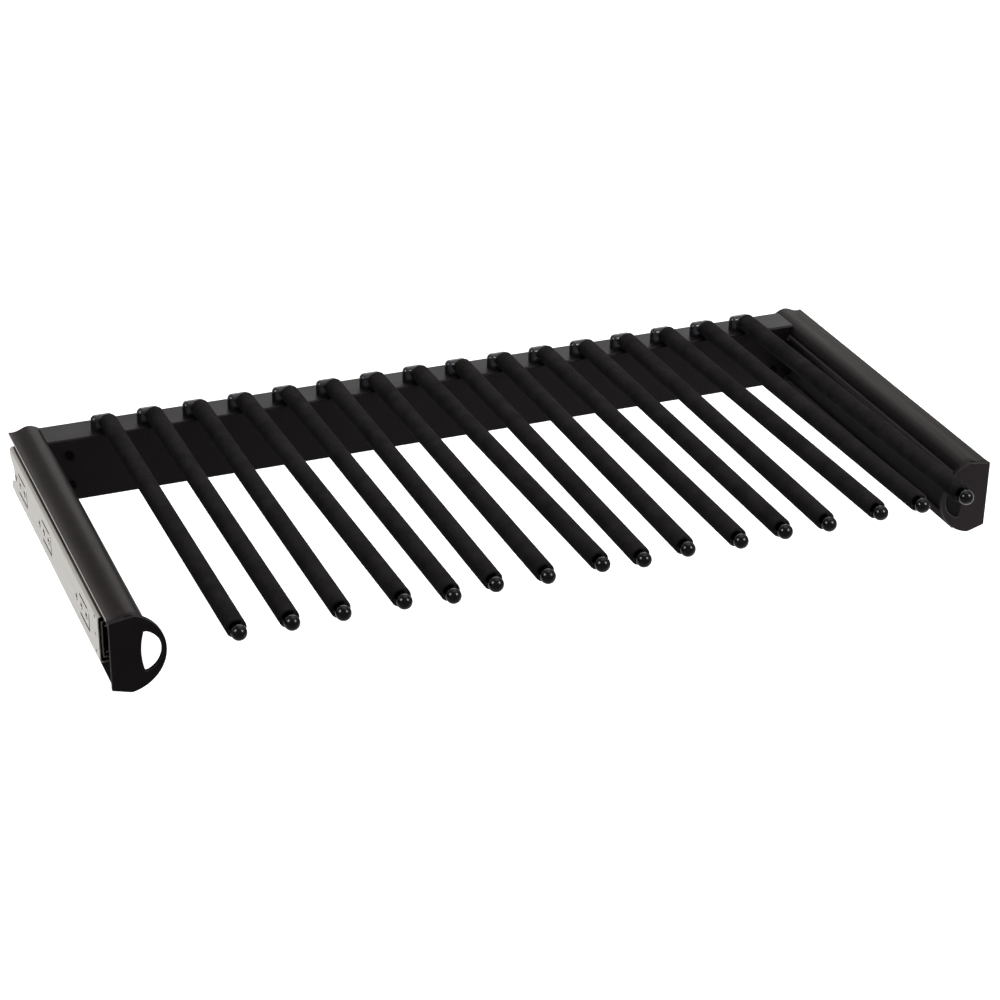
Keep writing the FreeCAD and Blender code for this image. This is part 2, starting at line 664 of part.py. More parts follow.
def slit(start, end):
    """Narrow cut through the cabinet runner's web, between two places given as length and height."""
    run = math.dist(start, end)
    angle = math.degrees(math.atan2(end[1] - start[1], end[0] - start[0]))
    half = TONGUE_SLIT / 2
    cut = box(point(-RUNNER_SHEET, -half, -half), point(RUNNER_SHEET, run + half, half))
    cut.rotate(point(0, 0, 0), RIGHT, angle)
    return cut.translated(point(runner_u(RUNNER_SHEET / 2), start[0], RUNNER_MIDDLE + start[1]))


def tongue_slits(middle):
    """Slits round a springy tongue in the web, whose nose points to the front."""
    nose, tail, half = middle - TONGUE_NOSE, middle + TONGUE_TAIL, TONGUE_HALF_HEIGHT
    corners = [
        (tail, half),
        (nose + TONGUE_NOSE_RUN, half),
        (nose, half - TONGUE_NOSE_DROP),
        (nose, -half),
        (tail, -half),
    ]
    return [slit(start, end) for start, end in zip(corners, corners[1:])]


def wall_hole(y, height, radius):
    middle = point(runner_u(RUNNER_SHEET / 2), y, RUNNER_MIDDLE + height)
    return through_hole(middle, RIGHT, radius, RUNNER_SHEET)


def cabinet_runner():
    half, race, lip = RUNNER_HEIGHT / 2, CABINET_RACE, RUNNER_HEIGHT / 2 - CABINET_LIP
    flange, sheet = CABINET_FLANGE, RUNNER_SHEET
    upper = [
        (sheet, race),
        (flange - sheet, race),
        (flange - sheet, lip),
        (flange, lip),
        (flange, half),
        (0, half),
    ]
    lower = [(depth, -height) for depth, height in upper[::-1]]
    runner = runner_section(upper + lower, RUNNER_FRONT, RUNNER_REAR)
    outer_corners = [(runner_u(0), RUNNER_MIDDLE + side * half) for side in (-1, 1)]
    inner_corners = [(runner_u(sheet), RUNNER_MIDDLE + side * race) for side in (-1, 1)]
    runner = round_edges(runner, RUNNER_ROUND, outer_corners, "y")
    runner = round_edges(runner, RUNNER_ROUND - sheet, inner_corners, "y")
    runner = ball_grooves(runner, OUTER_BALL_DEPTH, OUTER_BALL_ROW, RUNNER_FRONT, RUNNER_REAR)
    cuts = []
    for middle in WALL_GROUPS:
        cuts += [wall_hole(middle + step * WALL_HOLE_PITCH, 0, WALL_HOLE_RADIUS) for step in (-1, 0, 1)]
        cuts += tongue_slits(middle)
    front_column = RUNNER_FRONT + FRONT_HOLE_SETBACK
    cuts += [wall_hole(front_column, step * FRONT_HOLE_PITCH, FRONT_HOLE_RADIUS) for step in (-1, 0, 1)]
    notch = [
        (RUNNER_REAR, -REAR_NOTCH_HALF_MOUTH),
        (RUNNER_REAR - REAR_NOTCH_DEPTH, -REAR_NOTCH_HALF_ROOT),
        (RUNNER_REAR - REAR_NOTCH_DEPTH, REAR_NOTCH_HALF_ROOT),
        (RUNNER_REAR, REAR_NOTCH_HALF_MOUTH),
    ]
    points = [point(runner_u(0), y, RUNNER_MIDDLE + height) for y, height in notch]
    cuts.append(prism(chain(points + points[:1]), point(RUNNER_SHEET, 0, 0)))
    for cut in cuts:
        runner = runner.cut(cut)
    return runner


def middle_runner():
    web_far, flange_far = MIDDLE_DEPTH + RUNNER_SHEET, MIDDLE_DEPTH + MIDDLE_FLANGE
    pairs = channel_section(MIDDLE_DEPTH, web_far, flange_far, MIDDLE_TOP, RUNNER_SHEET)
    runner = runner_section(pairs, RUNNER_FRONT, MIDDLE_REAR)
    runner = ball_grooves(runner, OUTER_BALL_DEPTH, OUTER_BALL_ROW, RUNNER_FRONT, MIDDLE_REAR)
    return ball_grooves(runner, INNER_BALL_DEPTH, INNER_BALL_ROW, RUNNER_FRONT, MIDDLE_REAR)


def rack_runner():
    web_near = RUNNER_DEPTH - RUNNER_SHEET
    pairs = channel_section(RUNNER_DEPTH, web_near, RACK_FLANGE_DEPTH, RACK_TOP, RUNNER_SHEET)
    runner = runner_section(pairs, RUNNER_FRONT, RUNNER_REAR)
    runner = ball_grooves(runner, INNER_BALL_DEPTH, INNER_BALL_ROW, RUNNER_FRONT, RUNNER_REAR)
    for y in runner_screw_places():
        middle = point(runner_u(RUNNER_DEPTH), y, RUNNER_MIDDLE)
        runner = runner.cut(screw_hole(middle, RIGHT, RUNNER_SCREW_RADIUS, 2 * RUNNER_SHEET))
    return runner


def runner_screw_places():
    first = RUNNER_FRONT + RUNNER_SCREW_END
    pitch = (RUNNER_LENGTH - 2 * RUNNER_SCREW_END) / (RUNNER_SCREW_COUNT - 1)
    return [first + step * pitch for step in range(RUNNER_SCREW_COUNT)]


def runner_screws():
    sizes = (RUNNER_SCREW_RADIUS, SCREW_HEAD_RADIUS, RUNNER_SCREW_HEAD, RUNNER_SCREW_LENGTH)
    u = runner_u(RUNNER_DEPTH - RUNNER_SHEET)
    one_side = [screw(point(u, y, RUNNER_MIDDLE), RIGHT, *sizes) for y in runner_screw_places()]
    return [side(piece) for side in (to_left, to_right) for piece in one_side]


def ball_places(depth, row):
    first = CAGE_FRONT + BALL_ROW_END
    pitch = (CAGE_LENGTH - 2 * BALL_ROW_END) / (BALLS_PER_ROW - 1)
    places = []
    for side in (-1, 1):
        for step in range(BALLS_PER_ROW):
            places.append(point(runner_u(depth), first + step * pitch, RUNNER_MIDDLE + side * row))
    return places


def ball_cage(web_depth, ball_depth, row):
    arm = CAGE_SHEET / 2
    far = ball_depth + CAGE_ARM_PAST_BALL
    pairs = channel_section(web_depth, web_depth + CAGE_SHEET, far, row + arm, CAGE_SHEET)
    cage = runner_section(pairs, CAGE_FRONT, CAGE_FRONT + CAGE_LENGTH)
    holes = []
    for place in ball_places(ball_depth, row):
        holes.append(through_hole(place, UP, BALL_RADIUS + CAGE_BALL_CLEARANCE, BALL_RADIUS))
    return cage.cut(Part.makeCompound(holes))


def bearing_balls(depth, row):
    one_side = [Part.makeSphere(BALL_RADIUS, place) for place in ball_places(depth, row)]
    return [side(ball) for side in (to_left, to_right) for ball in one_side]


def write(name, shape):
    solids = shape.Solids if hasattr(shape, "Solids") else list(shape)
    whole = solids[0] if len(solids) == 1 else Part.makeCompound(solids)
    whole.translated(DATUM * -1).exportStep(os.path.join("parts", name + ".step"))


def main():
    os.makedirs("parts", exist_ok=True)
    sided = {
        "side_rail": side_rail(),
        "rail_cover": rail_cover(),
        "handle_cap": handle_cap(),
        "corner_bracket": corner_bracket(),
        "cabinet_runner": cabinet_runner(),
        "middle_runner": middle_runner(),
        "rack_runner": rack_runner(),
        "outer_ball_cage": ball_cage(OUTER_CAGE_DEPTH, OUTER_BALL_DEPTH, OUTER_BALL_ROW),
        "inner_ball_cage": ball_cage(INNER_CAGE_DEPTH, INNER_BALL_DEPTH, INNER_BALL_ROW),
    }
    for name, shape in sided.items():
        write("left_" + name, to_left(shape))
        write("right_" + name, to_right(shape))
    write("rear_channel", rear_channel())
    write("outer_bearing_balls", bearing_balls(OUTER_BALL_DEPTH, OUTER_BALL_ROW))
    write("inner_bearing_balls", bearing_balls(INNER_BALL_DEPTH, INNER_BALL_ROW))
    write("runner_screws", runner_screws())
    write("bracket_channel_screws", bracket_channel_screws())
    write("bracket_rail_screws", bracket_rail_screws())
    write("holder_screws", holder_screws())
    write("bar_tubes", [bar_tube(number) for number in range(BAR_COUNT)])
    write("ball_tips", [ball_tip(number) for number in range(BAR_COUNT)])
    for number in range(BAR_COUNT):
        label = "%02d" % (number + 1)
        write("bar_sleeve_" + label, bar_sleeve(number))
        write("bar_holder_" + label, bar_holder(number))


main()
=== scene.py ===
import json
import math

import bmesh
import bpy
import numpy as np
from mathutils import Matrix, Vector, noise


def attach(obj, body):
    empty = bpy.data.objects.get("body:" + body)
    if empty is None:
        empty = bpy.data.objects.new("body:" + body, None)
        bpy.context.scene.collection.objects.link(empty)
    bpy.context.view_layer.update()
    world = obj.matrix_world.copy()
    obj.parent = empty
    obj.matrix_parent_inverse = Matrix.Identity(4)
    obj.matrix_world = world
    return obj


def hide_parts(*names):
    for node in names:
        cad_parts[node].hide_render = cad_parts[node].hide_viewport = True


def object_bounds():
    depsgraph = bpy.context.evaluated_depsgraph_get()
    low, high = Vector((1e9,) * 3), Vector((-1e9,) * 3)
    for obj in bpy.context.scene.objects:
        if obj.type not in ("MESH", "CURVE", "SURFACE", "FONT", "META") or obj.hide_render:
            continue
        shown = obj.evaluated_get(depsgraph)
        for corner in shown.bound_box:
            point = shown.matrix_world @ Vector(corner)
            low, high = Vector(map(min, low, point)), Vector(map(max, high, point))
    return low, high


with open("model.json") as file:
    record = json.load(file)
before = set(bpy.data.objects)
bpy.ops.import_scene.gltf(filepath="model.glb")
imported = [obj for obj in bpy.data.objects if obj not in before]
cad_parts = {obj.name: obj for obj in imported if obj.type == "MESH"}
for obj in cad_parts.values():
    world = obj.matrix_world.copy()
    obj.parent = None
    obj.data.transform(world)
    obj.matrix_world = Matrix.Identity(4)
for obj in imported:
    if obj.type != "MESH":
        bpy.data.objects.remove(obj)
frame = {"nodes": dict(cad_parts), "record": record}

# Looks of a pull out trouser rack: softened metal edges, flocked bars with glossy ball tips, and finishes.
# Everything is in metres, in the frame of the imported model. The front of the rack faces -Y.

MM = 0.001
CAD_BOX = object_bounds()
CAD_LOW, CAD_HIGH = CAD_BOX
CAD_MIDDLE = (CAD_LOW + CAD_HIGH) / 2
SIDES = ("left", "right")
BAR_COUNT = 16
BAR_LABELS = ["%02d" % number for number in range(1, BAR_COUNT + 1)]
EVEN = (1, 1, 1)
WHITE = (1, 1, 1, 1)

# Camera of the photograph: a square frame, so the lens holds for its width and its height
EYE = Vector((-0.40471, -2.02632, 1.15086))
CAMERA_AZIMUTH = math.radians(-22.2755)
CAMERA_ELEVATION = math.radians(27.9064)
CAMERA_ROLL = math.radians(0.8734)
FOCAL_PIXELS = 2586.88
FRAME_PIXELS = 1000.0
SENSOR_WIDTH = 36.0

# White floor below the rack, and a world that fills the shadows
FLOOR_DROP = 0.30
FLOOR_HALF = 30.0
FLOOR_LIFT = 0.72
FLOOR_DARK = (0.69, 0.69, 0.69)
FLOOR_LIGHT = (0.71, 0.71, 0.71)
WORLD_FILL = 0.20

# Two softboxes that only show in reflections, placed by the camera's right, up and backward directions
SOFTBOX_DISTANCE = 2.7
SOFTBOX_SIZE = 1.1
SOFTBOX_POWER = 160.0
SOFTBOX_SIDE = 0.68
SOFTBOX_RISE = 0.34
SOFTBOX_BACK = 0.60

# Lamps that light the rack: place, width and power
KEY_BOX_PLACE = Vector((0.95, 0.30, 2.25))
KEY_BOX_SIZE = 2.0
KEY_BOX_POWER = 44.0
REAR_BOX_PLACE = Vector((0.55, 2.3, 1.15))
REAR_BOX_SIZE = 0.8
REAR_BOX_POWER = 9.0
SIDE_BOX_PLACE = Vector((1.6, 2.3, 1.15))
SIDE_BOX_SIZE = 1.2
SIDE_BOX_POWER = 17.0
FRONT_BOX_PLACE = Vector((1.05, -0.50, -0.12))
FRONT_BOX_SIZE = 0.3
FRONT_BOX_POWER = 4.6

# Edge rounds of the metal pieces, and the limits for welding, flattening and shading a mesh
RAIL_EDGE = 0.35 * MM
COVER_EDGE = 0.40 * MM
SHEET_EDGE = 0.25 * MM
EDGE_SEGMENTS = 2
SHARP_ANGLE = math.radians(28)
WELD_DISTANCE = 0.002 * MM
FLAT_ANGLE = math.radians(0.15)

# The covers are bare metal on their outer lips, farther than this from the middle of the rack
COVER_LIP_REACH = 429.8 * MM
LIP_METAL = (0.205, 0.205, 0.20)

# The rounded front edges of the handle caps get a painted highlight, a lighter colour; they face the front
# by a share between these
PAINTED_EDGE_HIGHLIGHT = (0.036, 0.032, 0.032)
EDGE_TURN_LOW = 0.30
EDGE_TURN_HIGH = 0.90

# Painted top light: faces of the rails and covers that look up are painted lighter, by how far they face
# upward
PAINTED_TOP_LIGHT = (0.060, 0.054, 0.054)
RAIL_TOP_LIGHT_LOW = 0.02
RAIL_TOP_LIGHT_HIGH = 0.35
COVER_TOP_LIGHT_LOW = 0.875
COVER_TOP_LIGHT_HIGH = 0.955

# Painted shade: the slopes of the covers get this darker colour, and the faces that look up keep the coat's
# colour
COVER_PAINTED_SHADE = (0.0046, 0.0040, 0.0038)

# Painted shade in the gaps between the zinc plated pieces, by how open the place is
PAINTED_GAP_SHADE = (0.030, 0.027, 0.024)
GAP_SHADE_REACH = 5.0 * MM
GAP_SHADE_SAMPLES = 8
GAP_SHADE_FULL = 0.35
GAP_SHADE_NONE = 0.88

# Lines along the length of drawn and rolled metal: how often they change along X, Y and Z, per metre
DRAWING_LINES = (1500, 14, 1500)
ROLLING_LINES = (900, 10, 900)

# Colours of the pile and of the bearing balls
FLOCK_DARK = (0.0054, 0.0049, 0.0049)
FLOCK_LIGHT = (0.0285, 0.0262, 0.0258)
BEARING_DARK = (0.62, 0.62, 0.63)
BEARING_LIGHT = (0.72, 0.72, 0.73)

# The black coats reflect a little warm
WARM_SHEEN = (1.0, 0.85, 0.85, 1.0)

# Flocked sleeves and ball tips
SLEEVE_SEGMENTS = 44
SLEEVE_RING_STEP = 2.5 * MM
SLEEVE_RIM = 1.2 * MM
RIM_STEPS = 4
FLOCK_LIFT = 0.07 * MM
FLOCK_GRAIN = 900.0
TIP_SEGMENTS = 48
TIP_BALL_STEPS = 28
TIP_NECK = 5.0 * MM
TIP_STEM_GAP = 4.0 * MM


# Node helpers

def new_material(name):
    material = bpy.data.materials.new(name)
    material.use_nodes = True
    tree = material.node_tree
    shader = tree.nodes["Principled BSDF"]
    return material, tree, shader


def set_inputs(node, **values):
    """Set the sockets that are named by their labels, with spaces written as underscores."""
    for name, value in values.items():
        node.inputs[name.replace("_", " ")].default_value = value


def add_node(tree, kind, **values):
    node = tree.nodes.new(kind)
    set_inputs(node, **values)
    return node


def place_texture(tree, stretch=EVEN):
    """Object coordinates in metres, multiplied along each axis."""
    coordinates = tree.nodes.new("ShaderNodeTexCoord")
    mapping = add_node(tree, "ShaderNodeMapping", Scale=stretch)
    tree.links.new(coordinates.outputs["Object"], mapping.inputs["Vector"])
    return mapping.outputs["Vector"]


def noise_texture(tree, scale, detail=3.0, roughness=0.5, stretch=EVEN):
    node = add_node(tree, "ShaderNodeTexNoise", Scale=scale, Detail=detail, Roughness=roughness)
    tree.links.new(place_texture(tree, stretch), node.inputs["Vector"])
    return node.outputs["Fac"]


def cell_texture(tree, scale):
    node = add_node(tree, "ShaderNodeTexVoronoi", Scale=scale)
    tree.links.new(place_texture(tree), node.inputs["Vector"])
    return node.outputs["Color"]


def remap(tree, value, low=0, high=1, start=0.3, end=0.7):
    """Spread a value over a new range; the usual start and end suit what a noise texture gives."""
    node = add_node(tree, "ShaderNodeMapRange", From_Min=start, From_Max=end, To_Min=low, To_Max=high)
    tree.links.new(value, node.inputs["Value"])
    return node.outputs["Result"]


def blend_colours(tree, factor, first, second):
    """Mix of two colours, each a plain colour or a socket: the first at 0, the second at 1."""
    node = tree.nodes.new("ShaderNodeMix")
    node.data_type = "RGBA"
    for name, value in zip(("A", "B"), (first, second)):
        socket = colour_socket(node, name)
        if isinstance(value, tuple):
            socket.default_value = (*value, 1)
        else:
            tree.links.new(value, socket)
    tree.links.new(factor, node.inputs["Factor"])
    return colour_output(node)


def colour_socket(node, name):
    return next(socket for socket in node.inputs if socket.name == name and socket.type == "RGBA")


def colour_output(node):
    return next(socket for socket in node.outputs if socket.type == "RGBA")


def calculate(tree, operation, *values):
    """Math node on sockets and plain numbers."""
    node = tree.nodes.new("ShaderNodeMath")
    node.operation = operation
    for socket, value in zip(node.inputs, values):
        if isinstance(value, float):
            socket.default_value = value
        else:
            tree.links.new(value, socket)
    return node.outputs["Value"]


def add_bump(tree, shader, height, distance):
    node = add_node(tree, "ShaderNodeBump", Strength=1.0, Distance=distance)
    tree.links.new(height, node.inputs["Height"])
    tree.links.new(node.outputs["Normal"], shader.inputs["Normal"])


def drive(tree, shader, socket, value):
    tree.links.new(value, shader.inputs[socket])


def base_colour(shader):
    """The socket that now gives the base colour."""
    return shader.inputs["Base Color"].links[0].from_socket


def split_coordinates(tree, kind):
    """X, Y and Z outputs of the object coordinates or of the normal."""
    coordinates = tree.nodes.new("ShaderNodeTexCoord")
    split = tree.nodes.new("ShaderNodeSeparateXYZ")
    tree.links.new(coordinates.outputs[kind], split.inputs["Vector"])
    return split.outputs


# Masks

def edge_mask(tree):
    """1 on the rounds between a front or rear face and the sides, by the way they face, and 0 elsewhere."""
    turn = calculate(tree, "ABSOLUTE", split_coordinates(tree, "Normal")["Y"])
    above = calculate(tree, "GREATER_THAN", turn, EDGE_TURN_LOW)
    return calculate(tree, "MULTIPLY", above, calculate(tree, "LESS_THAN", turn, EDGE_TURN_HIGH))


def level_mask(tree, low, high):
    """0 on the faces that look up by no more than the low share, growing to 1 at the high share."""
    return remap(tree, split_coordinates(tree, "Normal")["Z"], start=low, end=high)


def lip_mask(tree):
    """1 on the outer lips of the rail covers and 0 on the rest of them."""
    place = split_coordinates(tree, "Object")["X"]
    across = calculate(tree, "ABSOLUTE", calculate(tree, "SUBTRACT", place, CAD_MIDDLE.x))
    return calculate(tree, "GREATER_THAN", across, COVER_LIP_REACH)


# Materials

def anodised_black(name, dark, light, ior):
    """Black anodised extrusion: fine drawing lines along its length and a faint cloudiness."""
    material, tree, shader = new_material(name)
    lines = noise_texture(tree, scale=1.0, detail=2.0, roughness=0.6, stretch=DRAWING_LINES)
    clouds = noise_texture(tree, scale=22.0)
    drive(tree, shader, "Base Color", blend_colours(tree, remap(tree, clouds), dark, light))
    drive(tree, shader, "Roughness", remap(tree, lines, low=0.40, high=0.50))
    add_bump(tree, shader, lines, distance=0.004 * MM)
    set_inputs(shader, IOR=ior, Specular_Tint=WARM_SHEEN)
    return material, tree, shader


def powder_coat(name, dark, light, ior):
    """Black powder coat: a fine orange peel."""
    material, tree, shader = new_material(name)
    peel = noise_texture(tree, scale=900.0, detail=2.0)
    clouds = noise_texture(tree, scale=14.0)
    drive(tree, shader, "Base Color", blend_colours(tree, remap(tree, clouds), dark, light))
    drive(tree, shader, "Roughness", remap(tree, clouds, low=0.42, high=0.52))
    add_bump(tree, shader, peel, distance=0.012 * MM)
    set_inputs(shader, IOR=ior, Specular_Tint=WARM_SHEEN)
    return material


def moulded_plastic(name, dark, light, ior):
    """Moulded black plastic: fine spark-eroded grain, soft flow clouds and a painted highlight on the
    rounded front edges.
    """
    material, tree, shader = new_material(name)
    fine = noise_texture(tree, scale=2600.0, detail=2.0)
    clouds = noise_texture(tree, scale=30.0, detail=2.0)
    body = blend_colours(tree, remap(tree, clouds), dark, light)
    # painted highlight: the rounded edges that edge_mask finds get a lighter colour
    drive(tree, shader, "Base Color", blend_colours(tree, edge_mask(tree), body, PAINTED_EDGE_HIGHLIGHT))
    drive(tree, shader, "Roughness", remap(tree, clouds, low=0.50, high=0.60))
    add_bump(tree, shader, fine, distance=0.006 * MM)
    set_inputs(shader, IOR=ior, Specular_Tint=WARM_SHEEN)
    return material


def flock(name):
    """Short dense pile: dark fibres, brushed into lighter and darker patches."""
    material, tree, shader = new_material(name)
    fibres = noise_texture(tree, scale=2400.0, detail=4.0, roughness=0.7)
    patches = noise_texture(tree, scale=46.0, roughness=0.55)
    pile = remap(tree, fibres, low=0.25, high=1.0)
    brushed = remap(tree, patches, low=0.45, high=1.10)
    mixed = calculate(tree, "MULTIPLY", pile, brushed)
    drive(tree, shader, "Base Color", blend_colours(tree, mixed, FLOCK_DARK, FLOCK_LIGHT))
    add_bump(tree, shader, fibres, distance=0.22 * MM)
    set_inputs(shader, Roughness=0.95, IOR=1.06)
    return material


def zinc_plate(name, dark, light, rough_low, rough_high):
    """Zinc plated sheet: pale spangle, rolling lines along the strip, a warm passivated tone and painted
    shade in the narrow gaps.
    """
    material, tree, shader = new_material(name)
    lines = noise_texture(tree, scale=1.0, roughness=0.6, stretch=ROLLING_LINES)
    spangle = tree.nodes.new("ShaderNodeSeparateColor")
    tree.links.new(cell_texture(tree, scale=130.0), spangle.inputs["Color"])
    tone = remap(tree, spangle.outputs["Red"], low=0.36, high=0.64, start=0, end=1)
    drive(tree, shader, "Base Color", with_painted_gap_shade(tree, blend_colours(tree, tone, dark, light)))
    drive(tree, shader, "Roughness", remap(tree, lines, rough_low, rough_high))
    add_bump(tree, shader, lines, distance=0.003 * MM)
    set_inputs(shader, Metallic=1.0)
    return material


def with_painted_gap_shade(tree, colour):
    """The colour, darkened in the narrow gaps as painted shade."""
    # painted shade: ambient occlusion darkens the colour in narrow gaps
    gaps = add_node(tree, "ShaderNodeAmbientOcclusion", Distance=GAP_SHADE_REACH)
    gaps.samples = GAP_SHADE_SAMPLES
    open_share = remap(tree, gaps.outputs["AO"], start=GAP_SHADE_FULL, end=GAP_SHADE_NONE)
    return blend_colours(tree, open_share, PAINTED_GAP_SHADE, colour)


def polished_steel(name):
    """Hardened bearing steel with faint polishing swirls."""
    material, tree, shader = new_material(name)
    swirl = noise_texture(tree, scale=1500.0, detail=2.0)
    drive(tree, shader, "Base Color", blend_colours(tree, swirl, BEARING_DARK, BEARING_LIGHT))
    drive(tree, shader, "Roughness", remap(tree, swirl, low=0.08, high=0.16))
    set_inputs(shader, Metallic=1.0)
    return material


def glossy_black(name, dark, light, ior):
    """Glossy black moulding with a faint orange peel."""
    material, tree, shader = new_material(name)
    peel = noise_texture(tree, scale=320.0, detail=2.0)
    drive(tree, shader, "Base Color", blend_colours(tree, remap(tree, peel), dark, light))
    drive(tree, shader, "Roughness", remap(tree, peel, low=0.10, high=0.16))
    add_bump(tree, shader, peel, distance=0.01 * MM)
    set_inputs(shader, IOR=ior)
    return material


# Finishes

def rail_black(name):
    """Side rails: anodised, with painted top light, a lighter colour on the faces that look up."""
    dark = (0.0150, 0.0140, 0.0138)
    light = (0.0195, 0.0182, 0.0180)
    material, tree, shader = anodised_black(name, dark, light, ior=1.05)
    # painted top light: faces that look up blend towards a lighter colour
    level = level_mask(tree, RAIL_TOP_LIGHT_LOW, RAIL_TOP_LIGHT_HIGH)
    drive(tree, shader, "Base Color", blend_colours(tree, level, base_colour(shader), PAINTED_TOP_LIGHT))
    return material


def cover_black(name):
    """Rail covers: anodised, with painted shade on the slopes and the lighter coat on the faces that look
    up, with the bare metal of the outer lip.
    """
    dark = (0.0155, 0.0130, 0.0120)
    light = (0.0200, 0.0168, 0.0154)
    material, tree, shader = anodised_black(name, dark, light, ior=1.11)
    # painted shade and light: the slopes get the darker colour, the faces that look up keep the lighter coat
    level = level_mask(tree, COVER_TOP_LIGHT_LOW, COVER_TOP_LIGHT_HIGH)
    top_lit_slope_shaded = blend_colours(tree, level, COVER_PAINTED_SHADE, base_colour(shader))
    lip = lip_mask(tree)
    drive(tree, shader, "Base Color", blend_colours(tree, lip, top_lit_slope_shaded, LIP_METAL))
    drive(tree, shader, "Metallic", lip)
    return material


def cap_plastic(name):
    """Handle caps."""
    dark = (0.0048, 0.0039, 0.0041)
    light = (0.0066, 0.0053, 0.0056)
    return moulded_plastic(name, dark, light, ior=1.12)


def channel_black(name):
    """Rear channel."""
    dark = (0.0046, 0.0042, 0.0041)
    light = (0.0061, 0.0056, 0.0054)
    return powder_coat(name, dark, light, ior=1.143)


def bracket_steel(name):
    """Corner brackets."""
    dark = (0.0030, 0.0030, 0.0030)
    light = (0.0045, 0.0045, 0.0045)
    return powder_coat(name, dark, light, ior=1.20)


def screw_black(name):
    """Screws in the front face of the channel."""
    dark = (0.0010, 0.0010, 0.0010)
    light = (0.0016, 0.0016, 0.0016)
    return powder_coat(name, dark, light, ior=1.08)


def runner_zinc(name):
    """The three members of each runner."""
    dark = (0.275, 0.260, 0.232)
    light = (0.330, 0.314, 0.285)
    return zinc_plate(name, dark, light, rough_low=0.28, rough_high=0.42)


def cage_steel(name):
    """Ball cages of the runners."""
    dark = (0.38, 0.38, 0.37)
    light = (0.46, 0.46, 0.45)
    return zinc_plate(name, dark, light, rough_low=0.24, rough_high=0.36)


def screw_zinc(name):
    """Screws into the rails and the bar holders."""
    dark = (0.32, 0.32, 0.31)
    light = (0.40, 0.40, 0.39)
    return zinc_plate(name, dark, light, rough_low=0.22, rough_high=0.34)


def tube_steel(name):
    """Tubes inside the flocked sleeves."""
    dark = (0.05, 0.05, 0.05)
    light = (0.08, 0.08, 0.08)
    return zinc_plate(name, dark, light, rough_low=0.40, rough_high=0.52)


def tip_gloss(name):
    """Ball tips of the bars."""
    dark = (0.0018, 0.0017, 0.0017)
    light = (0.0028, 0.0026, 0.0026)
    return glossy_black(name, dark, light, ior=1.17)


def holder_gloss(name):
    """Holders at the rear ends of the bars."""
    dark = (0.0255, 0.0265, 0.0315)
    light = (0.0360, 0.0372, 0.0435)
    return glossy_black(name, dark, light, ior=1.20)


# One finish for each material slot of the record
FINISHES = {
    "rail_black": rail_black,
    "cover_black": cover_black,
    "cap_plastic": cap_plastic,
    "channel_black": channel_black,
    "bracket_steel": bracket_steel,
    "screw_black": screw_black,
    "runner_zinc": runner_zinc,
    "cage_steel": cage_steel,
    "screw_zinc": screw_zinc,
    "tube_steel": tube_steel,
    "bearing_steel": polished_steel,
    "tip_gloss": tip_gloss,
    "holder_gloss": holder_gloss,
    "flock": flock,
}


def make_materials():
    return {slot: finish(slot) for slot, finish in FINISHES.items()}


# Pieces

def new_object(name, data):
    """Object with this mesh, lamp or camera, put into the scene."""
    thing = bpy.data.objects.new(name, data)
    bpy.context.scene.collection.objects.link(thing)
    return thing


def body_of(node):
    bodies = frame["record"]["behaviour"]["bodies"]
    return next(body for body, members in bodies.items() if node in members)


def slot_of(node):
    return next(part["material_slot"] for part in frame["record"]["subparts"] if part["node"] == node)


def finish_piece(piece, node, materials):
    """Give a piece that stands for a node that node's finish and body."""
    slot = slot_of(node)
    piece.data.materials.clear()
    piece.data.materials.append(materials[slot])
    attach(piece, body_of(node))
    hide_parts(node)
    return piece


def smooth_shade(mesh):
    for polygon in mesh.polygons:
        polygon.use_smooth = True
    mesh.set_sharp_from_angle(angle=SHARP_ANGLE)


def softened(node, width, materials):
    """Copy of a node with its flat faces made whole and its sharp edges rounded."""
    mesh = frame["nodes"][node].data.copy()
    mesh.name = node + "_soft"
    if mesh.has_custom_normals:
        mesh.attributes.remove(mesh.attributes["custom_normal"])
    shape = bmesh.new()
    shape.from_mesh(mesh)
    bmesh.ops.remove_doubles(shape, verts=shape.verts, dist=WELD_DISTANCE)
    bmesh.ops.dissolve_limit(shape, angle_limit=FLAT_ANGLE, verts=shape.verts, edges=shape.edges)
    shape.to_mesh(mesh)
    shape.free()
    smooth_shade(mesh)
    piece = new_object(node + "_soft", mesh)
    bevel = piece.modifiers.new("edges", "BEVEL")
    bevel.limit_method = "ANGLE"
    bevel.angle_limit = SHARP_ANGLE
    bevel.width = width
    bevel.segments = EDGE_SEGMENTS
    bevel.use_clamp_overlap = False
    bevel.harden_normals = True
    return finish_piece(piece, node, materials)


def bar_line(node):
    """Rear end, front end, outer radius and bore of a sleeve, measured on its node."""
    points = np.array([vertex.co for vertex in frame["nodes"][node].data.vertices])
    middle = points.mean(0)
    axis = np.linalg.svd(points - middle, full_matrices=False)[2][0]
    if axis[1] > 0:
        axis = -axis
    along = (points - middle) @ axis
    reach = np.linalg.norm(points - middle - np.outer(along, axis), axis=1)
    centre = middle + axis * (along.min() + along.max()) / 2
    half = (along.max() - along.min()) / 2
    return Vector(centre - axis * half), Vector(centre + axis * half), reach.max(), reach.min()


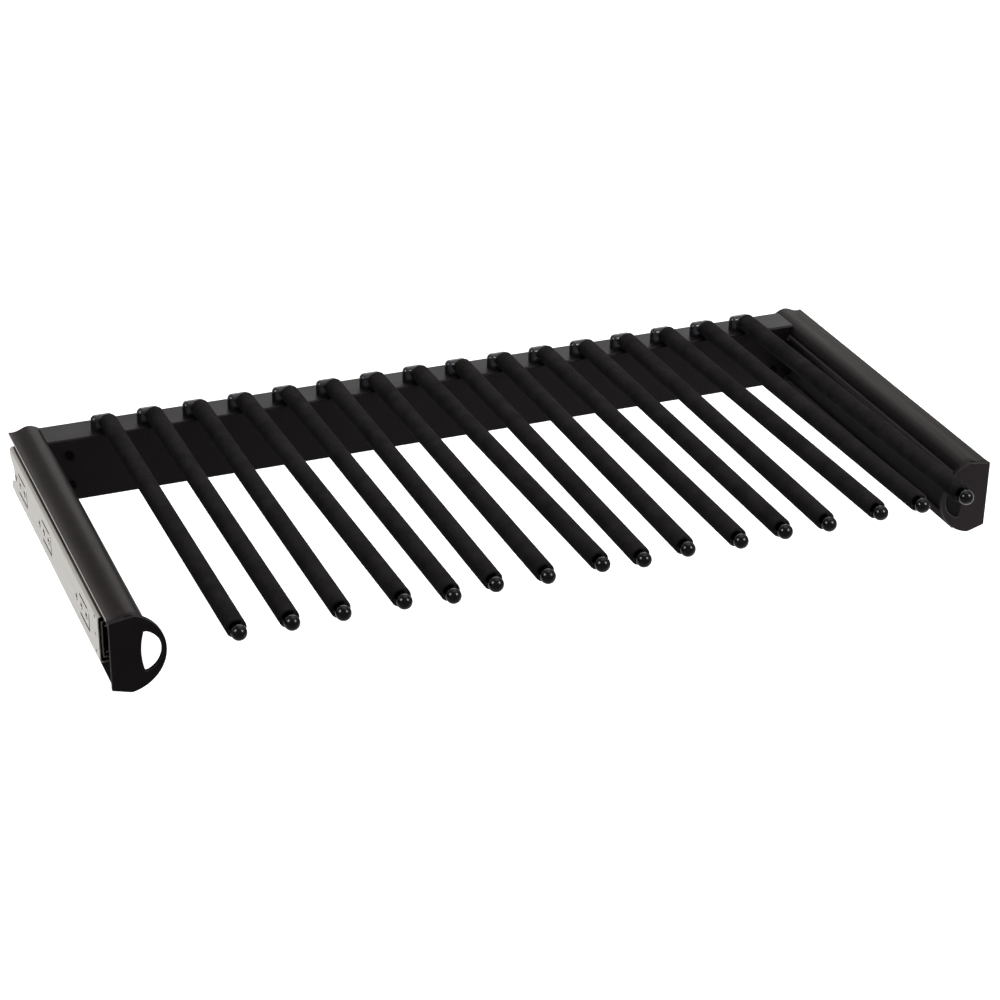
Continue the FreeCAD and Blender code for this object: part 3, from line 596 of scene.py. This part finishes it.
def turned_mesh(name, start, direction, profile, segments, closed, lift=None):
    """Turn a profile of (distance along, radius) pairs about a line; lift moves a point in or out."""
    turn = Vector((0, 0, 1)).rotation_difference(direction).to_matrix().to_4x4()
    place = Matrix.Translation(start) @ turn
    shape = bmesh.new()
    rings = []
    for along, radius in profile:
        if radius < WELD_DISTANCE:
            rings.append([shape.verts.new(place @ Vector((0, 0, along)))])
            continue
        ring = []
        for step in range(segments):
            angle = 2 * math.pi * step / segments
            spot = place @ Vector((radius * math.cos(angle), radius * math.sin(angle), along))
            if lift:
                spot = lift(spot, start + direction * along, radius)
            ring.append(shape.verts.new(spot))
        rings.append(ring)
    pairs = list(zip(rings, rings[1:]))
    if closed:
        pairs.append((rings[-1], rings[0]))
    for one, two in pairs:
        join_rings(shape, one, two, segments)
    bmesh.ops.recalc_face_normals(shape, faces=shape.faces)
    mesh = bpy.data.meshes.new(name)
    shape.to_mesh(mesh)
    shape.free()
    smooth_shade(mesh)
    return mesh


def join_rings(shape, one, two, segments):
    """Faces between two rings of points; a ring may be one point on the axis."""
    for step in range(segments):
        after = (step + 1) % segments
        corners = [one[step % len(one)], one[after % len(one)], two[after % len(two)], two[step % len(two)]]
        shape.faces.new(list(dict.fromkeys(corners)))


def rim_points(along, radius, direction):
    """Quarter round at the end of the sleeve's outer face, from that face to the end face."""
    points = []
    for step in range(RIM_STEPS + 1):
        angle = math.pi / 2 * step / RIM_STEPS
        inward = SLEEVE_RIM * (1 - math.cos(angle))
        points.append((along - direction * SLEEVE_RIM * (1 - math.sin(angle)), radius - inward))
    return points


def sleeve_profile(length, radius, bore):
    """Closed profile: outer face from the rear rim to the front rim, then back along the bore."""
    steps = round((length - 2 * SLEEVE_RIM) / SLEEVE_RING_STEP)
    outer = [SLEEVE_RIM + (length - 2 * SLEEVE_RIM) * step / steps for step in range(1, steps)]
    rear = rim_points(0, radius, -1)[::-1]
    front = rim_points(length, radius, 1)
    return rear + [(along, radius) for along in outer] + front + [(length, bore), (0, bore)]


def flock_lift(bore):
    """Ruffle the outer face of a sleeve as brushed pile does, and leave its bore alone."""
    def lift(spot, axis_spot, radius):
        if radius <= bore:
            return spot
        ruffle = noise.noise(spot * FLOCK_GRAIN)
        return spot + (spot - axis_spot).normalized() * FLOCK_LIFT * ruffle
    return lift


def flocked_sleeve(label, materials):
    """A sleeve with rounded rims and a ruffled pile, turned about its bar."""
    node = "bar_sleeve_" + label
    rear, front, radius, bore = bar_line(node)
    run = front - rear
    profile = sleeve_profile(run.length, radius - FLOCK_LIFT, bore)
    name = node + "_flock"
    lift = flock_lift(bore)
    mesh = turned_mesh(name, rear, run.normalized(), profile, SLEEVE_SEGMENTS, closed=True, lift=lift)
    return finish_piece(new_object(name, mesh), node, materials)


def tip_profile(front, direction, reach):
    """Profile of a ball tip, from the flat rear of its stem over the neck to the pole of the ball."""
    points = np.array([vertex.co for vertex in frame["nodes"]["ball_tips"].data.vertices])
    along = (points - np.array(front)) @ np.array(direction)
    radial = np.linalg.norm(points - np.array(front) - np.outer(along, direction), axis=1)
    own = radial < reach
    along, radial = along[own], radial[own]
    ball = radial[along > 0].max()
    middle = along.max() - ball
    rear = along.min()
    stem = radial[along < -TIP_STEM_GAP].max()
    shoulder = along[(radial > stem - WELD_DISTANCE) & (along < 0)].max()
    neck_angle = math.asin(TIP_NECK / ball)
    profile = [(rear, 0), (rear, stem), (shoulder, stem), (shoulder, TIP_NECK)]
    for step in range(TIP_BALL_STEPS + 1):
        angle = neck_angle + (math.pi - neck_angle) * step / TIP_BALL_STEPS
        profile.append((middle - ball * math.cos(angle), ball * math.sin(angle)))
    return profile


def turned_tips(materials):
    """All the ball tips as one piece, turned about their bars."""
    whole = bmesh.new()
    for label in BAR_LABELS:
        rear, front, radius = bar_line("bar_sleeve_" + label)[:3]
        direction = (front - rear).normalized()
        profile = tip_profile(front, direction, radius)
        tip = turned_mesh("tip", front, direction, profile, TIP_SEGMENTS, closed=False)
        whole.from_mesh(tip)
        bpy.data.meshes.remove(tip)
    mesh = bpy.data.meshes.new("ball_tips_turned")
    whole.to_mesh(mesh)
    whole.free()
    smooth_shade(mesh)
    finish_piece(new_object("ball_tips_turned", mesh), "ball_tips", materials)


def dress_nodes(materials):
    """Put each slot's finish on every node, also on those that a piece stands for."""
    for name, node in frame["nodes"].items():
        node.data.materials.clear()
        node.data.materials.append(materials[slot_of(name)])


def build_pieces(materials):
    for side in SIDES:
        softened(side + "_side_rail", RAIL_EDGE, materials)
        softened(side + "_rail_cover", COVER_EDGE, materials)
        softened(side + "_cabinet_runner", SHEET_EDGE, materials)
        softened(side + "_corner_bracket", SHEET_EDGE, materials)
    for label in BAR_LABELS:
        flocked_sleeve(label, materials)
    turned_tips(materials)


# Stage

def white_for_eye(tree):
    """1 for the rays that see the surroundings, straight or through a reflection, and 0 for the rest."""
    paths = tree.nodes.new("ShaderNodeLightPath")
    seen = paths.outputs["Is Camera Ray"]
    for ray in ("Is Glossy Ray", "Is Transmission Ray"):
        seen = calculate(tree, "MAXIMUM", seen, paths.outputs[ray])
    return seen


def stage_material(name):
    """White floor that keeps the object's shadow: lit diffuse, lifted to white for the eye."""
    material, tree, shader = new_material(name)
    clouds = noise_texture(tree, scale=0.6, detail=2.0)
    drive(tree, shader, "Base Color", blend_colours(tree, clouds, FLOOR_DARK, FLOOR_LIGHT))
    lift = remap(tree, white_for_eye(tree), high=FLOOR_LIFT, start=0, end=1)
    drive(tree, shader, "Emission Strength", lift)
    set_inputs(shader, Emission_Color=WHITE, Roughness=0.9, IOR=1.1)
    return material


def make_floor():
    mesh = bpy.data.meshes.new("floor")
    corners = [(-1, -1), (1, -1), (1, 1), (-1, 1)]
    height = CAD_LOW.z - FLOOR_DROP
    points = [(CAD_MIDDLE.x + x * FLOOR_HALF, CAD_MIDDLE.y + y * FLOOR_HALF, height) for x, y in corners]
    mesh.from_pydata(points, [], [(0, 1, 2, 3)])
    floor = new_object("floor", mesh)
    mesh.materials.append(stage_material("floor_white"))


def make_world():
    """White all round for the eye and for reflections, and a plain even fill for everything else."""
    world = bpy.data.worlds.new("studio")
    world.use_nodes = True
    tree = world.node_tree
    background = tree.nodes["Background"]
    strength = remap(tree, white_for_eye(tree), low=WORLD_FILL, start=0, end=1)
    tree.links.new(strength, background.inputs["Strength"])
    set_inputs(background, Color=WHITE)
    bpy.context.scene.world = world


def camera_axes():
    """Right, up and backward directions of the photograph's camera."""
    azimuth, elevation = CAMERA_AZIMUTH, CAMERA_ELEVATION
    back = Vector((
        math.sin(azimuth) * math.cos(elevation),
        -math.cos(azimuth) * math.cos(elevation),
        math.sin(elevation),
    ))
    level = Vector((math.cos(azimuth), math.sin(azimuth), 0))
    above = back.cross(level)
    right = level * math.cos(CAMERA_ROLL) + above * math.sin(CAMERA_ROLL)
    up = above * math.cos(CAMERA_ROLL) - level * math.sin(CAMERA_ROLL)
    return right, up, back


def make_camera():
    right, up, back = camera_axes()
    data = bpy.data.cameras.new("camera")
    data.sensor_width = SENSOR_WIDTH
    data.lens = FOCAL_PIXELS / FRAME_PIXELS * SENSOR_WIDTH
    camera = new_object("camera", data)
    camera.matrix_world = Matrix.Translation(EYE) @ Matrix((right, up, back)).transposed().to_4x4()
    bpy.context.scene.camera = camera


def add_softbox(name, place, size, power, lights=True, shows=True):
    """Square lamp that faces the middle of the object: it lights surfaces, shows in reflections, or both."""
    data = bpy.data.lights.new(name, "AREA")
    data.size = size
    data.energy = power
    lamp = new_object(name, data)
    lamp.location = place
    lamp.rotation_euler = (place - CAD_MIDDLE).to_track_quat("Z", "Y").to_euler()
    lamp.visible_diffuse = lights
    lamp.visible_glossy = shows


def make_softboxes():
    """Key light overhead, two softboxes that the tips reflect, two at the rear and a low fill in front."""
    right, up, back = camera_axes()
    for name, side in (("softbox_left", -SOFTBOX_SIDE), ("softbox_right", SOFTBOX_SIDE)):
        direction = (right * side + up * SOFTBOX_RISE + back * SOFTBOX_BACK).normalized()
        place = CAD_MIDDLE + direction * SOFTBOX_DISTANCE
        add_softbox(name, place, SOFTBOX_SIZE, SOFTBOX_POWER, lights=False)
    add_softbox("softbox_key", KEY_BOX_PLACE, KEY_BOX_SIZE, KEY_BOX_POWER)
    add_softbox("softbox_rear", REAR_BOX_PLACE, REAR_BOX_SIZE, REAR_BOX_POWER)
    add_softbox("softbox_side", SIDE_BOX_PLACE, SIDE_BOX_SIZE, SIDE_BOX_POWER)
    add_softbox("softbox_front", FRONT_BOX_PLACE, FRONT_BOX_SIZE, FRONT_BOX_POWER, shows=False)


def main():
    materials = make_materials()
    dress_nodes(materials)
    build_pieces(materials)
    make_floor()
    make_world()
    make_camera()
    make_softboxes()
    bpy.context.scene.view_settings.view_transform = "Standard"
    bpy.context.view_layer.update()


main()
